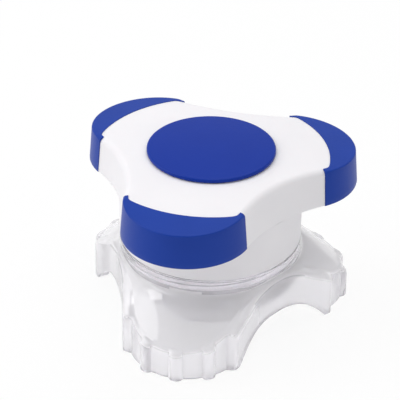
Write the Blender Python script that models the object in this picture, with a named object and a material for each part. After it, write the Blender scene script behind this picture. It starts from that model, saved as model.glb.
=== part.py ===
"""Screw-down tablet crusher with a tablet store in its knob.

A clear three-lobed base carries a neck with an inside thread and a tapered crushing cup. A white
plunger screws down into the cup. Its hollow top is the tablet store, closed by a round push-in lid.
A three-lobed hand knob with a blue grip on each lobe turns the plunger.

Metres, +Z up. The origin is on the screw's axis, on the surface that the base stands on. One lobe
points to -Y. The crusher is modelled screwed right down, with the grinding faces just apart.
"""
import math

import bmesh
import bpy
from mathutils import Vector

# ---- driving dimensions ---------------------------------------------------------------------------
GAP = 0.0003                       # clearance between neighbouring pieces
LOBE_ANGLES = [math.radians(angle) for angle in (-90, 30, 150)]
ROUND_STEPS = 64                   # sides of a turned piece

# knob: three tip arcs joined by concave sides
KNOB_TIP_CENTRE = 0.0236           # axis to the centre of a tip arc
KNOB_TIP_RADIUS = 0.0164
KNOB_SIDE_CENTRE = 0.0690          # axis to the centre of a concave side's arc
KNOB_BOTTOM = 0.0364
KNOB_TOP_EDGE = 0.0456             # height of the top at the outline
KNOB_CROWN = 0.0477                # height of the top at the lid
KNOB_DRAFT = 0.0008                # how much wider the outline is at the bottom
KNOB_FILLET = 0.0020               # top edge of the white shell
KNOB_WALL = 0.0016                 # shell's wall behind a grip
KNOB_PLATE = 0.0022                # thickness of the top plate
KNOB_BED_SLACK = 0.0004            # extra room under a grip's outer edge

# grips: a pad over each lobe's side wall and a crescent of its top
GRIP_HALF_ANGLE = math.radians(78.3)     # about the tip arc's centre
GRIP_CRESCENT_RADIUS = 0.0319          # inner edge of the crescents, about the screw's axis
GRIP_THICKNESS = 0.0012
GRIP_PROUD = 0.00015
GRIP_HORN_WIDTH = 0.0013               # width of a crescent at its ends
GRIP_EDGE = 0.0005                     # bevel between a grip's side and its top
GRIP_BACK_DROP = 0.0001                # inside corner, below the crescent's underside

# screw
THREAD_LEAD = 0.0052               # rise in one turn
THREAD_STARTS = 2
THREAD_TURNS = 1.1                 # length of each helix
THREAD_STEPS = 36                  # segments in one turn
THREAD_ROOT_WIDTH = 0.0011         # height of a ridge where it meets its wall
THREAD_CREST_WIDTH = 0.0007
THREAD_BURIED = 0.0004             # how deep a ridge is rooted in its wall
THREAD_FADE_STEPS = 3              # segments over which a ridge grows at each end
THREAD_LEAST_FADE = 0.15
NECK_BORE = 0.0230
NECK_THREAD_CREST = 0.0218
PLUNGER_ROOT = 0.0213
PLUNGER_THREAD_CREST = 0.0226

# base
BASE_TIP_CENTRE = 0.0233
BASE_TIP_RADIUS = 0.0166
BASE_SIDE_CENTRE = 0.1200
BASE_WALL = 0.0015
BASE_DRAFT = 0.0002                # how much wider the skirt is at the floor
RIM_HEIGHT = 0.0220
NECK_RADIUS = 0.0250
NECK_LOWER_RADIUS = 0.0244         # below the dome
NECK_BOTTOM = 0.0129
NECK_CHAMFER = 0.0004
SHOULDER_HEIGHT = 0.0178           # dome meets the neck over a lobe
SHOULDER_RISE = 0.0016             # how much higher it meets it between the lobes
SKIRT_TIP_HEIGHT = 0.0088
SKIRT_SIDE_HEIGHT = 0.0188         # skirt's top at the middle of a concave side
DOME_THICKNESS = 0.0020
DOME_EDGE_INSET = 0.0009           # dome's edge, behind the outline
DOME_RINGS = ((0.4, 0.32), (0.8, 0.72))    # share of the way out, share of the fall
RIB_TOP_DROP = 0.0009              # tops of the ribs and corners, below the dome's edge
ARCH_HEIGHT = 0.0085               # opening under the middle of each concave side
ARCH_POWER = 2.44

# ribs down each foot: three round ones and a corner at each end
RIB_ANGLES = [math.radians(angle) for angle in (-28, 5, 38)]
RIB_HALF_ANGLE = math.radians(7)
RIB_RECESS = 0.0009                # wall between ribs, behind the outline
RIB_HEIGHT = 0.0010
CORNER_START = math.radians(57)
CORNER_FULL = math.radians(65)
CORNER_HEIGHT = 0.0020
CORNER_RUN = 0.3                   # share of a concave side over which a corner dies away

# crushing cup and plunger
CUP_TOP = NECK_BOTTOM - GAP
CUP_FLOOR = 0.0024
CUP_FLOOR_RADIUS = 0.0112
CUP_WALL = 0.0018
CUP_CLEARANCE = 0.0008             # between the cup's taper and the plunger's
CUP_WAIST = 0.0095
CUP_LIP = 0.0012                   # height of the band under the neck
CUP_FOOT_CHAMFER = 0.0008
PLUNGER_FACE = 0.0039
PLUNGER_FACE_RADIUS = 0.0105
PLUNGER_WAIST_RADIUS = 0.0160
PLUNGER_WAIST = 0.0104             # the steep taper ends here
PLUNGER_SHOULDER = 0.0130          # the threaded part begins here
PLUNGER_FACE_CHAMFER = 0.0005
PLUNGER_FLANGE = 0.0223            # underside of the flange inside the barrel
FLANGE_THICKNESS = 0.0018
RIDGE_COUNT = 6
RIDGE_HEIGHT = 0.0006
RIDGE_WIDTH = 0.0009
RIDGE_INNER = 0.0022
RIDGE_OUTER = 0.0096

# barrel, tablet store and lid
BARREL_RADIUS = 0.0250
BARREL_WALL = 0.0018
BARREL_CHAMFER = 0.0006
BARREL_BOTTOM = RIM_HEIGHT + GAP
STORE_RADIUS = 0.0158
STORE_WALL = 0.0017
STORE_FLOOR = 0.0062
STORE_WAIST = 0.0119               # the store's wall starts to taper here
LID_RADIUS = 0.01735
LID_UNDERSIDE = KNOB_CROWN + GAP
LID_TOP = 0.0490
LID_BEVEL = 0.0004
LID_CROWN_RIM = 0.0016             # width of the slightly lower rim round the lid's top
LID_RIM_DROP = 0.0002
LID_TOP_PLATE = 0.0018
LID_PLUG_RADIUS = 0.0154
LID_PLUG_WALL = 0.0012
LID_PLUG_DEPTH = 0.0050
LID_PLUG_CHAMFER = 0.0005
PLATE_HOLE = 0.0162


# ---- materials ------------------------------------------------------------------------------------
def plastic(name, colour, roughness, alpha=1.0):
    """A moulded plastic as a Principled BSDF."""
    material = bpy.data.materials.new(name)
    material.use_nodes = True
    shader = material.node_tree.nodes["Principled BSDF"]
    shader.inputs["Base Color"].default_value = (*colour, 1.0)
    shader.inputs["Roughness"].default_value = roughness
    shader.inputs["Metallic"].default_value = 0.0
    shader.inputs["Alpha"].default_value = alpha
    return material


# ---- outlines -------------------------------------------------------------------------------------
def side_span(tip_centre, side_centre):
    """Angle about a tip arc's centre at which the concave side takes over."""
    across = side_centre * math.sin(math.radians(60))
    along = side_centre * math.cos(math.radians(60)) - tip_centre
    return math.atan2(across, along)


def outline(tip_centre, tip_radius, side_centre, tip_angles, side_steps):
    """Points round a three-lobed outline, as (point, outward normal, tip angle, side fraction).

    The tip angle is None on a concave side, and the side fraction, 0 to 1, is None on a tip.
    """
    span = side_span(tip_centre, side_centre)
    distance = math.hypot(side_centre * math.sin(math.radians(60)),
                          side_centre * math.cos(math.radians(60)) - tip_centre)
    side_radius = distance - tip_radius
    points = []
    for lobe in LOBE_ANGLES:
        centre = tip_centre * Vector((math.cos(lobe), math.sin(lobe)))
        for angle in tip_angles:
            normal = Vector((math.cos(lobe + angle), math.sin(lobe + angle)))
            points.append((centre + tip_radius * normal, normal, angle, None))
        valley = lobe + math.radians(60)
        side = side_centre * Vector((math.cos(valley), math.sin(valley)))
        half_sweep = math.radians(60) - span
        for step in range(1, side_steps):
            fraction = step / side_steps
            direction = valley + half_sweep * (2 * fraction - 1)
            normal = Vector((math.cos(direction), math.sin(direction)))
            points.append((side - side_radius * normal, normal, None, fraction))
    return points


def lifted(point, height):
    return Vector((point.x, point.y, height))


# ---- mesh helpers ---------------------------------------------------------------------------------
def finish_mesh(name, mesh_builder, material):
    """Turn a bmesh into a named object with outward faces and smooth shading."""
    bmesh.ops.recalc_face_normals(mesh_builder, faces=mesh_builder.faces)
    mesh = bpy.data.meshes.new(name)
    mesh_builder.to_mesh(mesh)
    mesh_builder.free()
    mesh.shade_smooth()
    mesh.set_sharp_from_angle(angle=math.radians(30))
    mesh.materials.append(material)
    piece = bpy.data.objects.new(name, mesh)
    bpy.context.scene.collection.objects.link(piece)
    return piece


def loft(name, rings, material):
    """Skin a list of rings that run round the axis, and join the last ring to the first."""
    builder = bmesh.new()
    rows = [[builder.verts.new(point) for point in ring] for ring in rings]
    count = len(rings[0])
    for upper, lower in zip(rows, rows[1:] + rows[:1]):
        for index in range(count):
            following = (index + 1) % count
            builder.faces.new((upper[index], upper[following], lower[following], lower[index]))
    return finish_mesh(name, builder, material)


def sweep(name, sections, material):
    """Skin a run of closed sections and cap both ends."""
    builder = bmesh.new()
    rows = [[builder.verts.new(point) for point in section] for section in sections]
    count = len(sections[0])
    for before, after in zip(rows, rows[1:]):
        for index in range(count):
            following = (index + 1) % count
            builder.faces.new((before[index], before[following], after[following], after[index]))
    builder.faces.new(rows[0])
    builder.faces.new(list(reversed(rows[-1])))
    return finish_mesh(name, builder, material)


def turned(name, profile, material, steps=ROUND_STEPS):
    """Spin a profile of (radius, height) points about Z.

    A profile that starts and ends on the axis makes a solid piece, any other one a ring.
    """
    builder = bmesh.new()
    verts = [builder.verts.new((radius, 0.0, height)) for radius, height in profile]
    edges = [builder.edges.new(pair) for pair in zip(verts, verts[1:])]
    if profile[0][0] > 0:
        edges.append(builder.edges.new((verts[-1], verts[0])))
    bmesh.ops.spin(builder, geom=verts + edges, cent=(0, 0, 0), axis=(0, 0, 1),
                   angle=2 * math.pi, steps=steps, use_merge=True)
    bmesh.ops.remove_doubles(builder, verts=builder.verts, dist=1e-6)
    bmesh.ops.dissolve_degenerate(builder, dist=1e-7, edges=builder.edges)
    return finish_mesh(name, builder, material)


def unite(piece, tool):
    """Fuse a tool into a piece with a Boolean, and drop the tool."""
    modifier = piece.modifiers.new("unite_" + tool.name, "BOOLEAN")
    modifier.operation = "UNION"
    modifier.solver = "EXACT"
    modifier.object = tool
    graph = bpy.context.evaluated_depsgraph_get()
    mesh = bpy.data.meshes.new_from_object(piece.evaluated_get(graph))
    piece.modifiers.clear()
    piece.data = mesh
    bpy.data.objects.remove(tool)


def helix_ridge(name, wall_radius, crest_radius, start_angle, start_height, material):
    """One thread ridge: a trapezium swept up a right-hand helix, thin at both ends."""
    count = round(THREAD_TURNS * THREAD_STEPS)
    buried = THREAD_BURIED if crest_radius > wall_radius else -THREAD_BURIED
    sections = []
    for step in range(count + 1):
        turn = step / THREAD_STEPS
        angle = start_angle + 2 * math.pi * turn
        middle = start_height + THREAD_LEAD * turn
        fade = min(1.0, step / THREAD_FADE_STEPS, (count - step) / THREAD_FADE_STEPS)
        fade = max(fade, THREAD_LEAST_FADE)
        crest = wall_radius + (crest_radius - wall_radius) * fade
        root = wall_radius - buried
        half_root = THREAD_ROOT_WIDTH / 2
        half_crest = THREAD_CREST_WIDTH / 2
        corners = ((root, -half_root), (crest, -half_crest), (crest, half_crest), (root, half_root))
        sections.append([Vector((radius * math.cos(angle), radius * math.sin(angle), middle + rise))
                         for radius, rise in corners])
    return sweep(name, sections, material)


def add_thread(piece, wall_radius, crest_radius, start_height, material):
    """Fuse every start of a thread into a piece."""
    for start in range(THREAD_STARTS):
        angle = 2 * math.pi * start / THREAD_STARTS
        ridge = helix_ridge("ridge", wall_radius, crest_radius, angle, start_height, material)
        unite(piece, ridge)


def add_grinding_ridges(piece, low, high, turn, material):
    """Fuse radial ridges into a grinding face."""
    for index in range(RIDGE_COUNT):
        angle = turn + 2 * math.pi * index / RIDGE_COUNT
        along = Vector((math.cos(angle), math.sin(angle), 0))
        across = Vector((-math.sin(angle), math.cos(angle), 0)) * (RIDGE_WIDTH / 2)
        sections = []
        for radius in (RIDGE_INNER, RIDGE_OUTER):
            middle = along * radius
            sections.append([middle - across + Vector((0, 0, low)), middle + across + Vector((0, 0, low)),
                             middle + across * 0.5 + Vector((0, 0, high)),
                             middle - across * 0.5 + Vector((0, 0, high))])
        unite(piece, sweep("grinding_ridge", sections, material))


# ---- base -----------------------------------------------------------------------------------------
def smooth_ramp(value, start, end):
    share = min(1.0, max(0.0, (value - start) / (end - start)))
    return share * share * (3 - 2 * share)


def rib_offset(angle, fraction):
    """How far the skirt stands out from the base outline at a tip angle or a side fraction."""
    corner = CORNER_HEIGHT - RIB_RECESS
    if angle is None:
        from_end = min(fraction, 1 - fraction)
        return corner * (1 - smooth_ramp(from_end, 0.0, CORNER_RUN))
    if abs(angle) >= CORNER_START:
        return -RIB_RECESS + CORNER_HEIGHT * smooth_ramp(abs(angle), CORNER_START, CORNER_FULL)
    nearest = min(abs(angle - rib) for rib in RIB_ANGLES)
    if nearest >= RIB_HALF_ANGLE:
        return -RIB_RECESS
    return -RIB_RECESS + RIB_HEIGHT * math.cos(math.pi / 2 * nearest / RIB_HALF_ANGLE) ** 2


def base_tip_angles():
    """Tip angles with five points on each round rib and four on each corner."""
    span = side_span(BASE_TIP_CENTRE, BASE_SIDE_CENTRE)
    half = [0.5 * (CORNER_START + RIB_ANGLES[-1])]
    half += [CORNER_START, 0.5 * (CORNER_START + CORNER_FULL), CORNER_FULL, span]
    angles = sorted([-angle for angle in half]) + half
    for rib in RIB_ANGLES:
        angles += [rib + RIB_HALF_ANGLE * share for share in (-1, -0.5, 0, 0.5, 1)]
    return sorted(angles + [-0.5 * RIB_ANGLES[-1], 0.5 * RIB_ANGLES[-1]])


def skirt_top(point):
    """Height of the skirt's top edge: low at the lobe tips, high between the lobes."""
    reach = BASE_TIP_CENTRE + BASE_TIP_RADIUS
    valley = NECK_RADIUS + BASE_WALL
    share = min(1.0, max(0.0, (reach - point.length) / (reach - valley)))
    return SKIRT_TIP_HEIGHT + (SKIRT_SIDE_HEIGHT - SKIRT_TIP_HEIGHT) * share ** 1.2


def skirt_bottom(fraction):
    """Height of the skirt's lower edge: on the floor at a lobe, arched between the lobes."""
    if fraction is None:
        return 0.0
    return ARCH_HEIGHT * (1 - abs(2 * fraction - 1) ** ARCH_POWER)


def shoulder(angle):
    """Height at which the dome meets the neck, by the direction from the axis."""
    return SHOULDER_HEIGHT + SHOULDER_RISE * (0.5 - 0.5 * math.cos(3 * (angle - LOBE_ANGLES[0]))) ** 4


def make_base_shell(material):
    """Skirt, dome and threaded neck, as one ring-shaped skin."""
    points = outline(BASE_TIP_CENTRE, BASE_TIP_RADIUS, BASE_SIDE_CENTRE, base_tip_angles(), 8)
    rings = [[] for _ in range(17)]
    (near, near_fall), (far, far_fall) = DOME_RINGS
    for point, normal, angle, fraction in points:
        direction = math.atan2(point.y, point.x)
        radial = Vector((math.cos(direction), math.sin(direction)))
        offset = rib_offset(angle, fraction)
        outer = point + normal * offset
        edge = point + normal * min(offset, -DOME_EDGE_INSET)
        inner = point - normal * (BASE_WALL + (RIB_RECESS if fraction is None else 0.0))
        top = skirt_top(point)
        bottom = skirt_bottom(fraction)
        neck = NECK_RADIUS * radial
        lower_neck = NECK_LOWER_RADIUS * radial
        joint = shoulder(direction)
        column = [
            lifted(NECK_BORE * radial, NECK_BOTTOM),
            lifted(NECK_BORE * radial, RIM_HEIGHT - NECK_CHAMFER),
            lifted((NECK_BORE + NECK_CHAMFER) * radial, RIM_HEIGHT),
            lifted((NECK_RADIUS - NECK_CHAMFER) * radial, RIM_HEIGHT),
            lifted(neck, RIM_HEIGHT - NECK_CHAMFER),
            lifted(neck, joint),
            lifted(neck.lerp(edge, near), joint + (top - joint) * near_fall),
            lifted(neck.lerp(edge, far), joint + (top - joint) * far_fall),
            lifted(edge, top),
            lifted(outer, top - RIB_TOP_DROP),
            lifted(outer + normal * BASE_DRAFT, bottom),
            lifted(inner + normal * BASE_DRAFT, bottom),
            lifted(inner, top - DOME_THICKNESS),
            lifted(lower_neck.lerp(inner, far), joint + (top - joint) * far_fall - DOME_THICKNESS),
            lifted(lower_neck.lerp(inner, near), joint + (top - joint) * near_fall - DOME_THICKNESS),
            lifted(lower_neck, joint - DOME_THICKNESS),
            lifted(lower_neck, NECK_BOTTOM),
        ]
        for ring, place in zip(rings, column):
            ring.append(place)
    shell = loft("base_shell", rings, material)
    thread_start = NECK_BOTTOM + THREAD_ROOT_WIDTH + THREAD_LEAD / 4
    add_thread(shell, NECK_BORE, NECK_THREAD_CREST, thread_start, material)
    return shell


def make_crushing_cup(material):
    """Tapered cup under the neck, with a ridged floor that stands on the table."""
    waist = PLUNGER_WAIST_RADIUS + CUP_CLEARANCE
    foot = CUP_FLOOR_RADIUS + CUP_WALL
    profile = [
        (0.0, CUP_FLOOR),
        (CUP_FLOOR_RADIUS, CUP_FLOOR),
        (waist, CUP_WAIST),
        (NECK_BORE - NECK_CHAMFER, CUP_TOP - 2 * NECK_CHAMFER),
        (NECK_BORE, CUP_TOP),
        (NECK_LOWER_RADIUS, CUP_TOP),
        (NECK_LOWER_RADIUS, CUP_TOP - CUP_LIP),
        (waist + CUP_WALL, CUP_WAIST - CUP_WALL - GAP),
        (foot, CUP_FOOT_CHAMFER),
        (foot - CUP_FOOT_CHAMFER, 0.0),
        (0.0, 0.0),
    ]
    cup = turned("crushing_cup", profile, material)
    add_grinding_ridges(cup, CUP_FLOOR - GAP, CUP_FLOOR + RIDGE_HEIGHT, 0.0, material)
    return cup


# ---- screw and store ------------------------------------------------------------------------------
def make_plunger(material):
    """Hollow plunger: tablet store above, thread in the middle, tapered grinding end below."""
    store_outer = STORE_RADIUS + STORE_WALL
    flange_top = PLUNGER_FLANGE + FLANGE_THICKNESS
    top = KNOB_TOP_EDGE - KNOB_PLATE + 2 * GAP
    profile = [
        (0.0, STORE_FLOOR),
        (PLUNGER_FACE_RADIUS - STORE_WALL, STORE_FLOOR),
        (PLUNGER_WAIST_RADIUS - STORE_WALL, STORE_WAIST),
        (STORE_RADIUS, PLUNGER_FLANGE),
        (STORE_RADIUS, top),
        (store_outer, top),
        (store_outer, flange_top),
        (BARREL_RADIUS - BARREL_WALL - GAP, flange_top),
        (BARREL_RADIUS - BARREL_WALL - GAP, PLUNGER_FLANGE),
        (PLUNGER_ROOT, PLUNGER_FLANGE),
        (PLUNGER_ROOT, PLUNGER_SHOULDER),
        (PLUNGER_WAIST_RADIUS, PLUNGER_WAIST),
        (PLUNGER_FACE_RADIUS, PLUNGER_FACE + PLUNGER_FACE_CHAMFER),
        (PLUNGER_FACE_RADIUS - PLUNGER_FACE_CHAMFER, PLUNGER_FACE),
        (0.0, PLUNGER_FACE),
    ]
    plunger = turned("plunger", profile, material)
    thread_start = NECK_BOTTOM + THREAD_ROOT_WIDTH
    add_thread(plunger, PLUNGER_ROOT, PLUNGER_THREAD_CREST, thread_start, material)
    face_turn = math.pi / RIDGE_COUNT
    add_grinding_ridges(plunger, PLUNGER_FACE - RIDGE_HEIGHT, PLUNGER_FACE + GAP, face_turn, material)
    return plunger


def make_barrel(material):
    """Round sleeve from the base's rim to the knob, with a plate on top that the plunger passes."""
    inner = BARREL_RADIUS - BARREL_WALL
    hole = STORE_RADIUS + STORE_WALL + GAP
    top = KNOB_BOTTOM - GAP
    profile = [
        (inner, BARREL_BOTTOM),
        (inner, top - BARREL_WALL),
        (hole, top - BARREL_WALL),
        (hole, top),
        (BARREL_RADIUS, top),
        (BARREL_RADIUS, BARREL_BOTTOM + BARREL_CHAMFER),
        (BARREL_RADIUS - BARREL_CHAMFER, BARREL_BOTTOM),
    ]
    return turned("barrel", profile, material)


def make_storage_lid(material):
    """Round lid with a hollow plug that pushes into the tablet store."""
    plug_inner = LID_PLUG_RADIUS - LID_PLUG_WALL
    plug_bottom = LID_UNDERSIDE - LID_PLUG_DEPTH
    profile = [
        (0.0, LID_TOP),
        (LID_RADIUS - LID_CROWN_RIM, LID_TOP),
        (LID_RADIUS - LID_BEVEL, LID_TOP - LID_RIM_DROP),
        (LID_RADIUS, LID_TOP - LID_RIM_DROP - LID_BEVEL),
        (LID_RADIUS, LID_UNDERSIDE),
        (LID_PLUG_RADIUS, LID_UNDERSIDE),
        (LID_PLUG_RADIUS, plug_bottom + LID_PLUG_CHAMFER),
        (LID_PLUG_RADIUS - LID_PLUG_CHAMFER, plug_bottom),
        (plug_inner, plug_bottom),
        (plug_inner, LID_TOP - LID_TOP_PLATE),
        (0.0, LID_TOP - LID_TOP_PLATE),
    ]
    return turned("storage_lid", profile, material)


# ---- knob -----------------------------------------------------------------------------------------
def knob_outline():
    """Outline points, with two close together at each end of a grip."""
    span = side_span(KNOB_TIP_CENTRE, KNOB_SIDE_CENTRE)
    grip_gap = GAP / KNOB_TIP_RADIUS
    half = [GRIP_HALF_ANGLE * step / 6 for step in range(1, 7)]
    half += [GRIP_HALF_ANGLE + grip_gap, GRIP_HALF_ANGLE + 1.2 * grip_gap, span]
    angles = sorted([-angle for angle in half]) + [0.0] + half
    return outline(KNOB_TIP_CENTRE, KNOB_TIP_RADIUS, KNOB_SIDE_CENTRE, angles, 8)


def knob_top(point):
    """Height of the crowned top at a distance from the axis."""
    reach = KNOB_TIP_CENTRE + KNOB_TIP_RADIUS
    share = min(1.0, max(0.0, (point.length - LID_RADIUS) / (reach - LID_RADIUS)))
    return KNOB_CROWN - (KNOB_CROWN - KNOB_TOP_EDGE) * share ** 1.5


def crescent_edge(point, normal):
    """Inner edge of a grip's crescent, straight in from a point of the outline."""
    radial = point.normalized()
    on_circle = radial * min(GRIP_CRESCENT_RADIUS, point.length)
    on_fillet = point - normal * GRIP_HORN_WIDTH
    return on_circle if on_circle.length < on_fillet.length else on_fillet


def make_knob_shell(material):
    """White three-lobed shell, open below, with a shallow bed for each grip."""
    bed = GRIP_THICKNESS + GAP - GRIP_PROUD
    bed_end = GRIP_HALF_ANGLE + 1.1 * GAP / KNOB_TIP_RADIUS
    height = KNOB_TOP_EDGE - KNOB_FILLET - KNOB_BOTTOM
    rings = [[] for _ in range(11)]
    for point, normal, angle, _ in knob_outline():
        radial = point.normalized()
        hole = PLATE_HOLE * radial
        middle = hole.lerp(point, 0.5)
        inner = point - normal * (bed + KNOB_WALL)
        plate_under = KNOB_TOP_EDGE - KNOB_PLATE
        in_bed = angle is not None and abs(angle) < bed_end
        if in_bed:
            crest = crescent_edge(point, normal)
            crest -= crest.normalized() * GAP
            wall = point - normal * bed
            skin = [
                lifted(crest, knob_top(crest)),
                lifted(crest, knob_top(crest) - bed),
                lifted(wall, knob_top(point) - bed - KNOB_BED_SLACK),
                lifted(wall + normal * KNOB_DRAFT * 0.4, KNOB_BOTTOM + height * 0.6),
            ]
            foot = wall + normal * KNOB_DRAFT
        else:
            crest = point - normal * KNOB_FILLET
            skin = [
                lifted(crest, knob_top(crest)),
                lifted(point - normal * KNOB_FILLET * 0.65, knob_top(crest) - KNOB_FILLET * 0.1),
                lifted(point - normal * KNOB_FILLET * 0.2, knob_top(crest) - KNOB_FILLET * 0.45),
                lifted(point, knob_top(crest) - KNOB_FILLET),
            ]
            foot = point + normal * KNOB_DRAFT
        column = [lifted(hole, KNOB_CROWN), lifted(middle, knob_top(middle))] + skin + [
            lifted(foot, KNOB_BOTTOM),
            lifted(inner + normal * KNOB_DRAFT, KNOB_BOTTOM),
            lifted(inner, plate_under),
            lifted(hole.lerp(inner, 0.6), plate_under),
            lifted(hole, KNOB_CROWN - KNOB_PLATE),
        ]
        for ring, place in zip(rings, column):
            ring.append(place)
    return loft("knob_shell", rings, material)


def make_grip(name, lobe, material):
    """Grip over one lobe: a side pad as tall as the knob and a crescent on the top."""
    steps = 16
    centre = KNOB_TIP_CENTRE * Vector((math.cos(lobe), math.sin(lobe)))
    sections = []
    for step in range(steps + 1):
        angle = GRIP_HALF_ANGLE * (2 * step / steps - 1)
        normal = Vector((math.cos(lobe + angle), math.sin(lobe + angle)))
        point = centre + KNOB_TIP_RADIUS * normal
        crest = crescent_edge(point, normal)
        skin = point + normal * GRIP_PROUD
        back = skin - normal * GRIP_THICKNESS
        top = knob_top(point) + GRIP_PROUD
        crest_top = knob_top(crest) + GRIP_PROUD
        sections.append([
            lifted(skin + normal * KNOB_DRAFT, KNOB_BOTTOM),
            lifted(skin, top - GRIP_EDGE),
            lifted(skin - normal * GRIP_EDGE, top),
            lifted(crest, crest_top),
            lifted(crest, crest_top - GRIP_THICKNESS),
            lifted(back, top - GRIP_THICKNESS - GRIP_BACK_DROP),
            lifted(back + normal * KNOB_DRAFT, KNOB_BOTTOM),
        ])
    return sweep(name, sections, material)


# ---- assembly -------------------------------------------------------------------------------------
def clear_scene():
    for old in list(bpy.data.objects):
        bpy.data.objects.remove(old)


def main():
    clear_scene()
    white = plastic("white_plastic", (0.86, 0.86, 0.88), 0.35)
    blue = plastic("blue_plastic", (0.022, 0.060, 0.340), 0.40)
    soft_blue = plastic("blue_grip", (0.020, 0.055, 0.330), 0.50)
    clear = plastic("clear_plastic", (0.95, 0.95, 0.97), 0.05, alpha=0.35)

    make_base_shell(clear)
    make_crushing_cup(clear)
    make_barrel(white)
    make_plunger(white)
    make_knob_shell(white)
    for name, lobe in zip(("front_grip", "right_grip", "left_grip"), LOBE_ANGLES):
        make_grip(name, lobe, soft_blue)
    make_storage_lid(blue)


main()
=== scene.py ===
"""Looks of the screw-down tablet crusher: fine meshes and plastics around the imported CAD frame.

Metres, +Z up, origin on the screw's axis at the floor, one lobe towards -Y. Every mesh is skinned
from rings that are worked out here from the frame's own sizes and a few named dimensions.
"""
import math

import bmesh
import bpy
from mathutils import Matrix, Vector


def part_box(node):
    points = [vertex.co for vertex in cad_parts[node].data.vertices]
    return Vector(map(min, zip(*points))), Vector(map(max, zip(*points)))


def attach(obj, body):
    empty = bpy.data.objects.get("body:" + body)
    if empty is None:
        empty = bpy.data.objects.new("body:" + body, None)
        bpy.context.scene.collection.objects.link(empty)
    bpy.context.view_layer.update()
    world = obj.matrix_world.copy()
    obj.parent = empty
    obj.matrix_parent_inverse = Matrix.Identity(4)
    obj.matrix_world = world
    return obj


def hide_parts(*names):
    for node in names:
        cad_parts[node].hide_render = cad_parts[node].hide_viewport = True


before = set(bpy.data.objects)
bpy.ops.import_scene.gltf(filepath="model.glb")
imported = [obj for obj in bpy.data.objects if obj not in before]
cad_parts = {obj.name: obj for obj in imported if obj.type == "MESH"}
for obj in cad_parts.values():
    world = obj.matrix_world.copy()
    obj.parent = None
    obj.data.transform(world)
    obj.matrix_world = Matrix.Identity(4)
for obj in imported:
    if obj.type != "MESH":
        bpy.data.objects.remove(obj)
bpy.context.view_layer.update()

# ---- sizes read from the frame --------------------------------------------------------------------
LID_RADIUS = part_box("storage_lid")[1].x
LID_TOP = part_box("storage_lid")[1].z
LID_PLUG_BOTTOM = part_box("storage_lid")[0].z
KNOB_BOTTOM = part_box("knob_shell")[0].z
KNOB_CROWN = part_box("knob_shell")[1].z
KNOB_REACH = -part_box("front_grip")[0].y          # axis to a grip's lower edge
BARREL_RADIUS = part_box("barrel")[1].x
BARREL_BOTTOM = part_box("barrel")[0].z
BARREL_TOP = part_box("barrel")[1].z
RIM_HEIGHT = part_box("base_shell")[1].z
CUP_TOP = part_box("crushing_cup")[1].z
PLUNGER_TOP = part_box("plunger")[1].z
PLUNGER_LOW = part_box("plunger")[0].z             # tips of its grinding ridges
FLANGE_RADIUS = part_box("plunger")[1].x

# ---- driving dimensions ---------------------------------------------------------------------------
LOBE_ANGLES = [math.radians(angle) for angle in (-90, 30, 150)]
VALLEY = math.radians(60)                        # from a lobe to the middle of a concave side

# knob
KNOB_DRAFT = 0.0008                              # how much further out its lower edge is
GRIP_PROUD = 0.00015                             # how far a grip stands out of the shell
KNOB_TIP_RADIUS = 0.0164
KNOB_TIP_CENTRE = KNOB_REACH - KNOB_TIP_RADIUS - KNOB_DRAFT - GRIP_PROUD
KNOB_SIDE_CENTRE = 0.0690
KNOB_EDGE_DROP = 0.0021                          # the top's fall from the lid to a lobe's tip
KNOB_TOP_EDGE = KNOB_CROWN - KNOB_EDGE_DROP
KNOB_TOP_POWER = 1.5                             # how late that fall comes
KNOB_FILLET = 0.0020
KNOB_WALL = 0.0016
KNOB_PLATE = 0.0022
KNOB_FOOT_ROUND = 0.0003
PLATE_HOLE = 0.0162                              # radius of the tablet store's mouth
PLATE_CHAMFER = 0.0003
UNDERSIDE_CHAMFER = 0.0004
UNDERSIDE_SHARE = 0.6                            # middle ring, from the hole to the wall
BED_SHARES = (0.0, 0.3, 0.6, 0.9)                # rings across the top of a grip's bed
BRINK_SHARES = (0.25, 0.5, 0.7, 0.9, 1.0)        # rings from the crest down to a bed's brink
BRINK_WIDTH = 0.0002                             # least width of that slope

# grips
GRIP_HALF_ANGLE = math.radians(78.3)
GRIP_CRESCENT_RADIUS = 0.0319
CRESCENT_BLEND = 0.0006                          # softens where the crescent meets the strip
GRIP_THICKNESS = 0.0012
GRIP_FOOT = 0.0002                               # round of the lower edge
GRIP_EDGE = 0.0004
GRIP_END_EDGE = 0.0011                           # edge round at a grip's ends
GRIP_END_START = math.radians(70)
GRIP_STRIP = 0.0012                              # width left on top where the crescent has ended
SEAM = 0.00004                                   # between a grip and its bed
SEAM_ANGLE = SEAM / KNOB_TIP_RADIUS
BED_END = GRIP_HALF_ANGLE + 1.2 * SEAM_ANGLE     # between the two cuts where the bed steps up
BED_END_CUTS = (1.0, 1.5)                        # those cuts, in seam angles past the grip
BARE_START_CUT = 4                               # the next cut, likewise
BED_DEPTH = GRIP_THICKNESS + SEAM - GRIP_PROUD
ARC_MIDDLE = 0.29                                # inset of a quarter arc's middle, per radius

# screw
THREAD_LEAD = 0.0052
THREAD_STARTS = 2
THREAD_TURNS = 1.1                               # length of each helix
THREAD_START = 0.0140                            # the plunger's helices begin at this height
THREAD_HALF_WIDTH = 0.0009
THREAD_FADE = math.radians(30)                   # the ridge grows and dies over this turn
NECK_BORE = 0.0230
NECK_THREAD_DEPTH = 0.0009
PLUNGER_ROOT = 0.0213                            # radius between the ridges
PLUNGER_THREAD_DEPTH = 0.0011

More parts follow.
